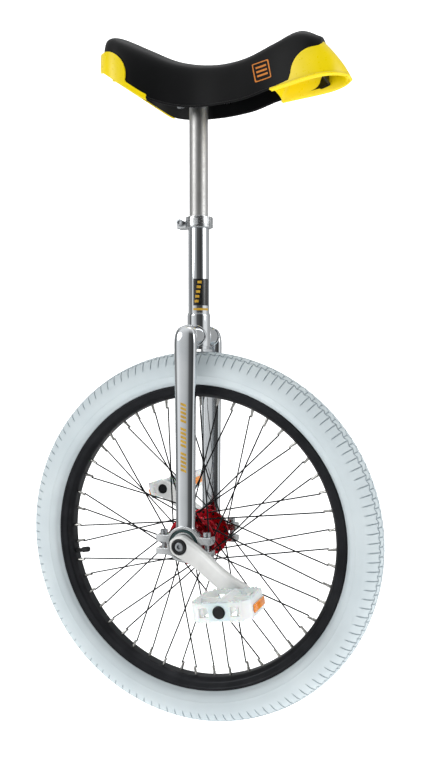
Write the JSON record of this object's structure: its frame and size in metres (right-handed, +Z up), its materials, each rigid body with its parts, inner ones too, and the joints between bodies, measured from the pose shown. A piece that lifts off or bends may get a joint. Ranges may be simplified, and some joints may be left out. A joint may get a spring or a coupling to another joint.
{
  "type": "unicycle",
  "caption": "Learner unicycle: balloon-tyred spoked wheel driven directly by its cranks, chromed two-leg fork, sliding seat post and a curved saddle with end bumpers.",
  "frame": {"origin": "on the ground under the middle of the wheel, where the tyre touches", "axes": "+X forward, the way the rider faces; +Y to the rider's left, along the wheel axle; +Z up along the seat post"},
  "size_m": [0.508, 0.342, 0.9367],
  "materials": {
    "chromed_steel": "polished chrome plate",
    "brushed_post_steel": "satin, drawn tube",
    "zinc_plated_steel": "zinc plated",
    "black_oxide_steel": "black oxide",
    "bearing_steel": "ground",
    "polished_aluminium": "cast and polished",
    "red_anodised_aluminium": "red anodised",
    "black_anodised_aluminium": "black anodised",
    "black_spokes": "black coated steel wire",
    "pale_tyre_rubber": "matte moulded rubber",
    "black_rubber": "matte",
    "seal_rubber": "satin moulded seal",
    "black_plastic": "satin moulded",
    "white_pedal_plastic": "moulded, slightly translucent",
    "amber_reflector": "prismatic lens",
    "saddle_skin": "satin moulded skin",
    "seat_foam": "flexible foam",
    "yellow_bumper_plastic": "satin moulded"
  },
  "bodies": {
    "frame": {"seat_tube": "chromed_steel", "fork_crown": "chromed_steel", "right_leg": "chromed_steel", "left_leg": "chromed_steel", "right_bearing_housing": "polished_aluminium", "right_bearing_cap": "polished_aluminium", "right_front_bearing_bolt": "zinc_plated_steel", "right_rear_bearing_bolt": "zinc_plated_steel", "right_outer_race": "bearing_steel", "right_bearing_seal": "seal_rubber", "left_bearing_housing": "polished_aluminium", "left_bearing_cap": "polished_aluminium", "left_front_bearing_bolt": "zinc_plated_steel", "left_rear_bearing_bolt": "zinc_plated_steel", "left_outer_race": "bearing_steel", "left_bearing_seal": "seal_rubber", "seat_clamp": "polished_aluminium", "seat_clamp_bolt": "zinc_plated_steel"},
    "wheel": {"tyre": "pale_tyre_rubber", "inner_tube": "black_rubber", "valve_cap": "black_plastic", "rim_tape": "black_rubber", "rim": "black_anodised_aluminium", "hub_shell": "red_anodised_aluminium", "hub_axle": "zinc_plated_steel", "right_spokes": "black_spokes", "left_spokes": "black_spokes", "right_inner_race": "bearing_steel", "right_ball_cage": "bearing_steel", "right_crank": "polished_aluminium", "right_crank_bolt": "zinc_plated_steel", "right_crank_dust_ring": "black_plastic", "right_pedal_spindle": "black_oxide_steel", "left_inner_race": "bearing_steel", "left_ball_cage": "bearing_steel", "left_crank": "polished_aluminium", "left_crank_bolt": "zinc_plated_steel", "left_crank_dust_ring": "black_plastic", "left_pedal_spindle": "black_oxide_steel"},
    "seat": {"seat_post": "brushed_post_steel", "saddle_bracket": "zinc_plated_steel", "saddle_base": "black_plastic", "saddle_foam": "seat_foam", "saddle_cover": "saddle_skin", "front_bumper": "yellow_bumper_plastic", "rear_bumper": "yellow_bumper_plastic", "saddle_front_left_bolt": "zinc_plated_steel", "saddle_front_right_bolt": "zinc_plated_steel", "saddle_rear_left_bolt": "zinc_plated_steel", "saddle_rear_right_bolt": "zinc_plated_steel"},
    "right_pedal": {"right_pedal_body": "white_pedal_plastic", "right_pedal_bush": "black_plastic", "right_pedal_end_cap": "black_plastic", "right_pedal_front_reflector": "amber_reflector", "right_pedal_rear_reflector": "amber_reflector"},
    "left_pedal": {"left_pedal_body": "white_pedal_plastic", "left_pedal_bush": "black_plastic", "left_pedal_end_cap": "black_plastic", "left_pedal_front_reflector": "amber_reflector", "left_pedal_rear_reflector": "amber_reflector"}
  },
  "joints": [
    {"name": "wheel_spin", "type": "hinge", "parent": "frame", "child": "wheel", "pos_m": [0, 0, 0.254], "axis": [0, 1, 0], "continuous": true},
    {"name": "seat_height", "type": "slide", "parent": "frame", "child": "seat", "axis": [0, 0, 1], "range_m": [-0.035, 0.07]},
    {"name": "right_pedal_spin", "type": "hinge", "parent": "wheel", "child": "right_pedal", "pos_m": [0.08989, -0.136, 0.2058], "axis": [0, 1, 0], "continuous": true},
    {"name": "left_pedal_spin", "type": "hinge", "parent": "wheel", "child": "left_pedal", "pos_m": [-0.08989, 0.136, 0.3022], "axis": [0, 1, 0], "continuous": true}
  ]
}
